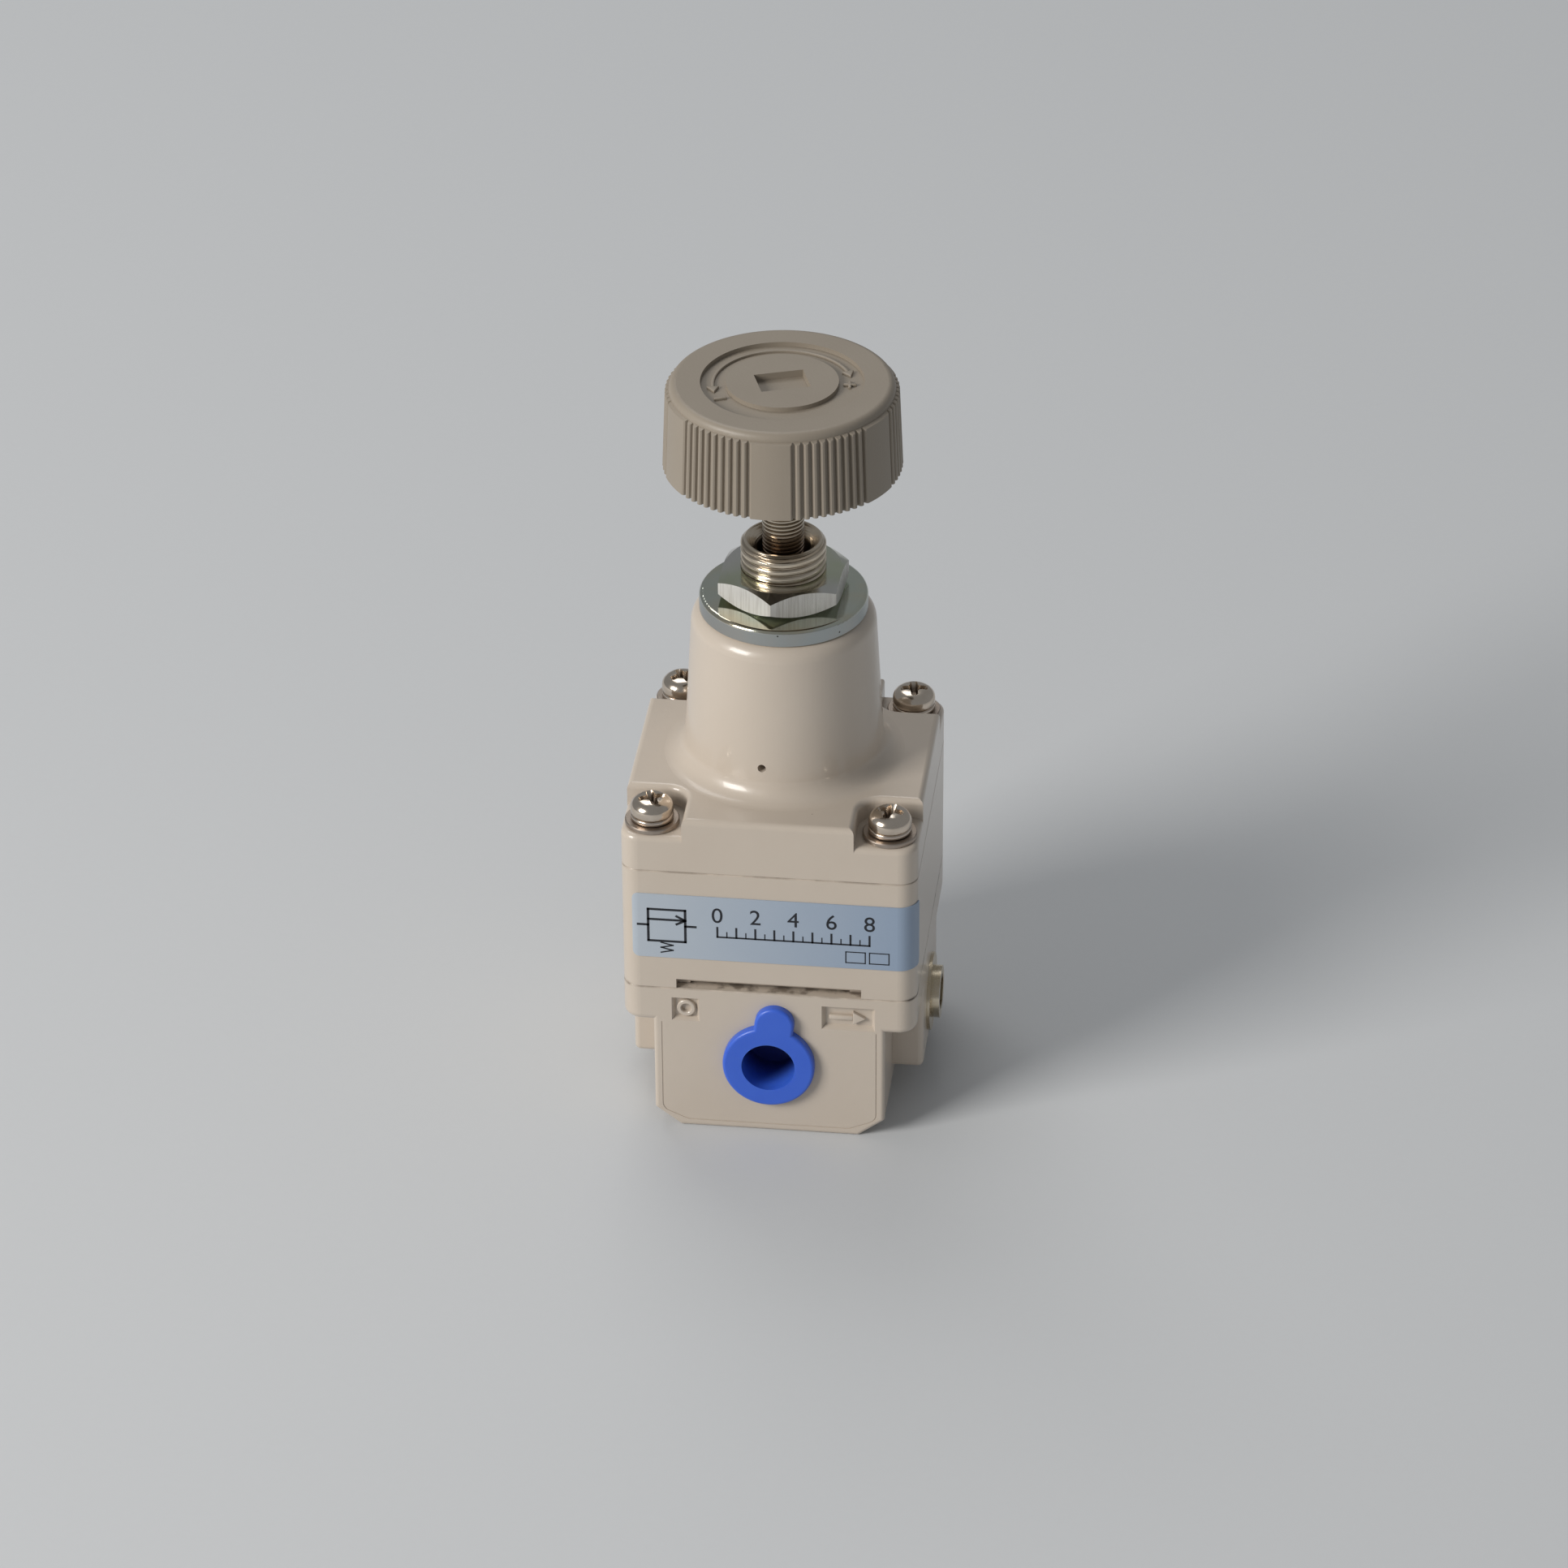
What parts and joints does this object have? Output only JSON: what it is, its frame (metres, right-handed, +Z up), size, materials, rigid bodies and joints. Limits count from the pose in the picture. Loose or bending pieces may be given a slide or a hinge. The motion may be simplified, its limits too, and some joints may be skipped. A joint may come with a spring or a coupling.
{
  "type": "precision pressure regulator",
  "caption": "Precision air pressure regulator: stacked square cast body with front and back ports, domed neck with a panel thread, and a grooved knob that screws down onto the setting spring.",
  "frame": {"origin": "middle of the flat underside, where the regulator stands", "axes": "+Z up along the adjusting axis, -Y out of the capped outlet port (the front), +Y out of the open inlet port, +X towards the right-hand gauge plug"},
  "size_m": [0.0378, 0.0361, 0.0924],
  "materials": {
    "body_paint": "glossy warm grey paint over a die casting",
    "knob_plastic": "moulded warm grey plastic, satin",
    "screw_steel": "turned and threaded steel, nickel bright",
    "nut_zinc": "bright plated steel, brushed flats",
    "bushing_metal": "bright nickel plating over turned brass",
    "fastener_zinc": "bright zinc plating",
    "cap_plastic": "soft translucent blue plastic",
    "plug_metal": "turned, nickel plated",
    "label_foil": "bare pale blue grey foil, satin",
    "seal_rubber": "black nitrile rubber, matt",
    "spring_steel": "drawn spring steel",
    "inner_brass": "machined brass",
    "inner_aluminium": "machined aluminium"
  },
  "bodies": {
    "housing": {"lower_body": "body_paint", "middle_body": "body_paint", "bonnet": "body_paint", "panel_bushing": "bushing_metal", "panel_washer": "nut_zinc", "panel_nut": "nut_zinc", "nozzle": "inner_brass", "fixed_orifice": "inner_brass", "clamp_ring": "inner_brass", "control_diaphragm": "seal_rubber", "pilot_diaphragm": "seal_rubber", "main_diaphragm": "seal_rubber", "valve_guide": "inner_brass", "guide_o_ring": "seal_rubber", "valve_spring": "spring_steel", "setting_spring": "spring_steel", "cover_screws": "fastener_zinc", "spring_washers": "fastener_zinc", "flat_washers": "fastener_zinc", "out_port_cap": "cap_plastic", "gauge_plug_left": "plug_metal", "gauge_plug_right": "plug_metal", "gauge_seal_left": "seal_rubber", "gauge_seal_right": "seal_rubber", "label": "label_foil"},
    "setting_seat": {"upper_spring_seat": "inner_aluminium", "thrust_ball": "spring_steel"},
    "knob": {"knob": "knob_plastic", "adjusting_screw": "screw_steel"},
    "control": {"lower_spring_seat": "inner_aluminium", "flapper": "inner_brass", "stud_nut": "inner_brass"},
    "valve": {"main_valve": "inner_brass", "valve_seal": "seal_rubber"},
    "relief": {"lower_plate": "inner_aluminium", "relief_post": "inner_brass", "diaphragm_spacer": "inner_aluminium", "pilot_plate": "inner_aluminium", "post_nut": "inner_brass"}
  },
  "joints": [
    {"name": "adjuster_travel", "type": "slide", "parent": "housing", "child": "setting_seat", "axis": [0, 0, 1], "range_m": [-0.007, 0], "deforming": ["setting_spring"]},
    {"name": "knob_spin", "type": "hinge", "parent": "setting_seat", "child": "knob", "pos_m": [0, 0, 0.0818], "axis": [0, 0, 1], "range_deg": [-5040, 0]},
    {"name": "control_travel", "type": "slide", "parent": "housing", "child": "control", "axis": [0, 0, 1], "range_m": [-0.0002, 0.0002], "stiffness_N_per_m": 2000, "deforming": ["control_diaphragm"]},
    {"name": "valve_lift", "type": "slide", "parent": "housing", "child": "valve", "axis": [0, 0, 1], "range_m": [-0.0008, 0], "stiffness_N_per_m": 300, "springref_m": 0.002, "deforming": ["valve_spring", "main_diaphragm"]},
    {"name": "relief_lift", "type": "slide", "parent": "valve", "child": "relief", "axis": [0, 0, 1], "range_m": [0, 0.0004], "stiffness_N_per_m": 500, "deforming": ["pilot_diaphragm"]}
  ],
  "couplings": [
    {"joint": "adjuster_travel", "follows": "knob_spin", "m_per_rad": 0.000079577}
  ]
}
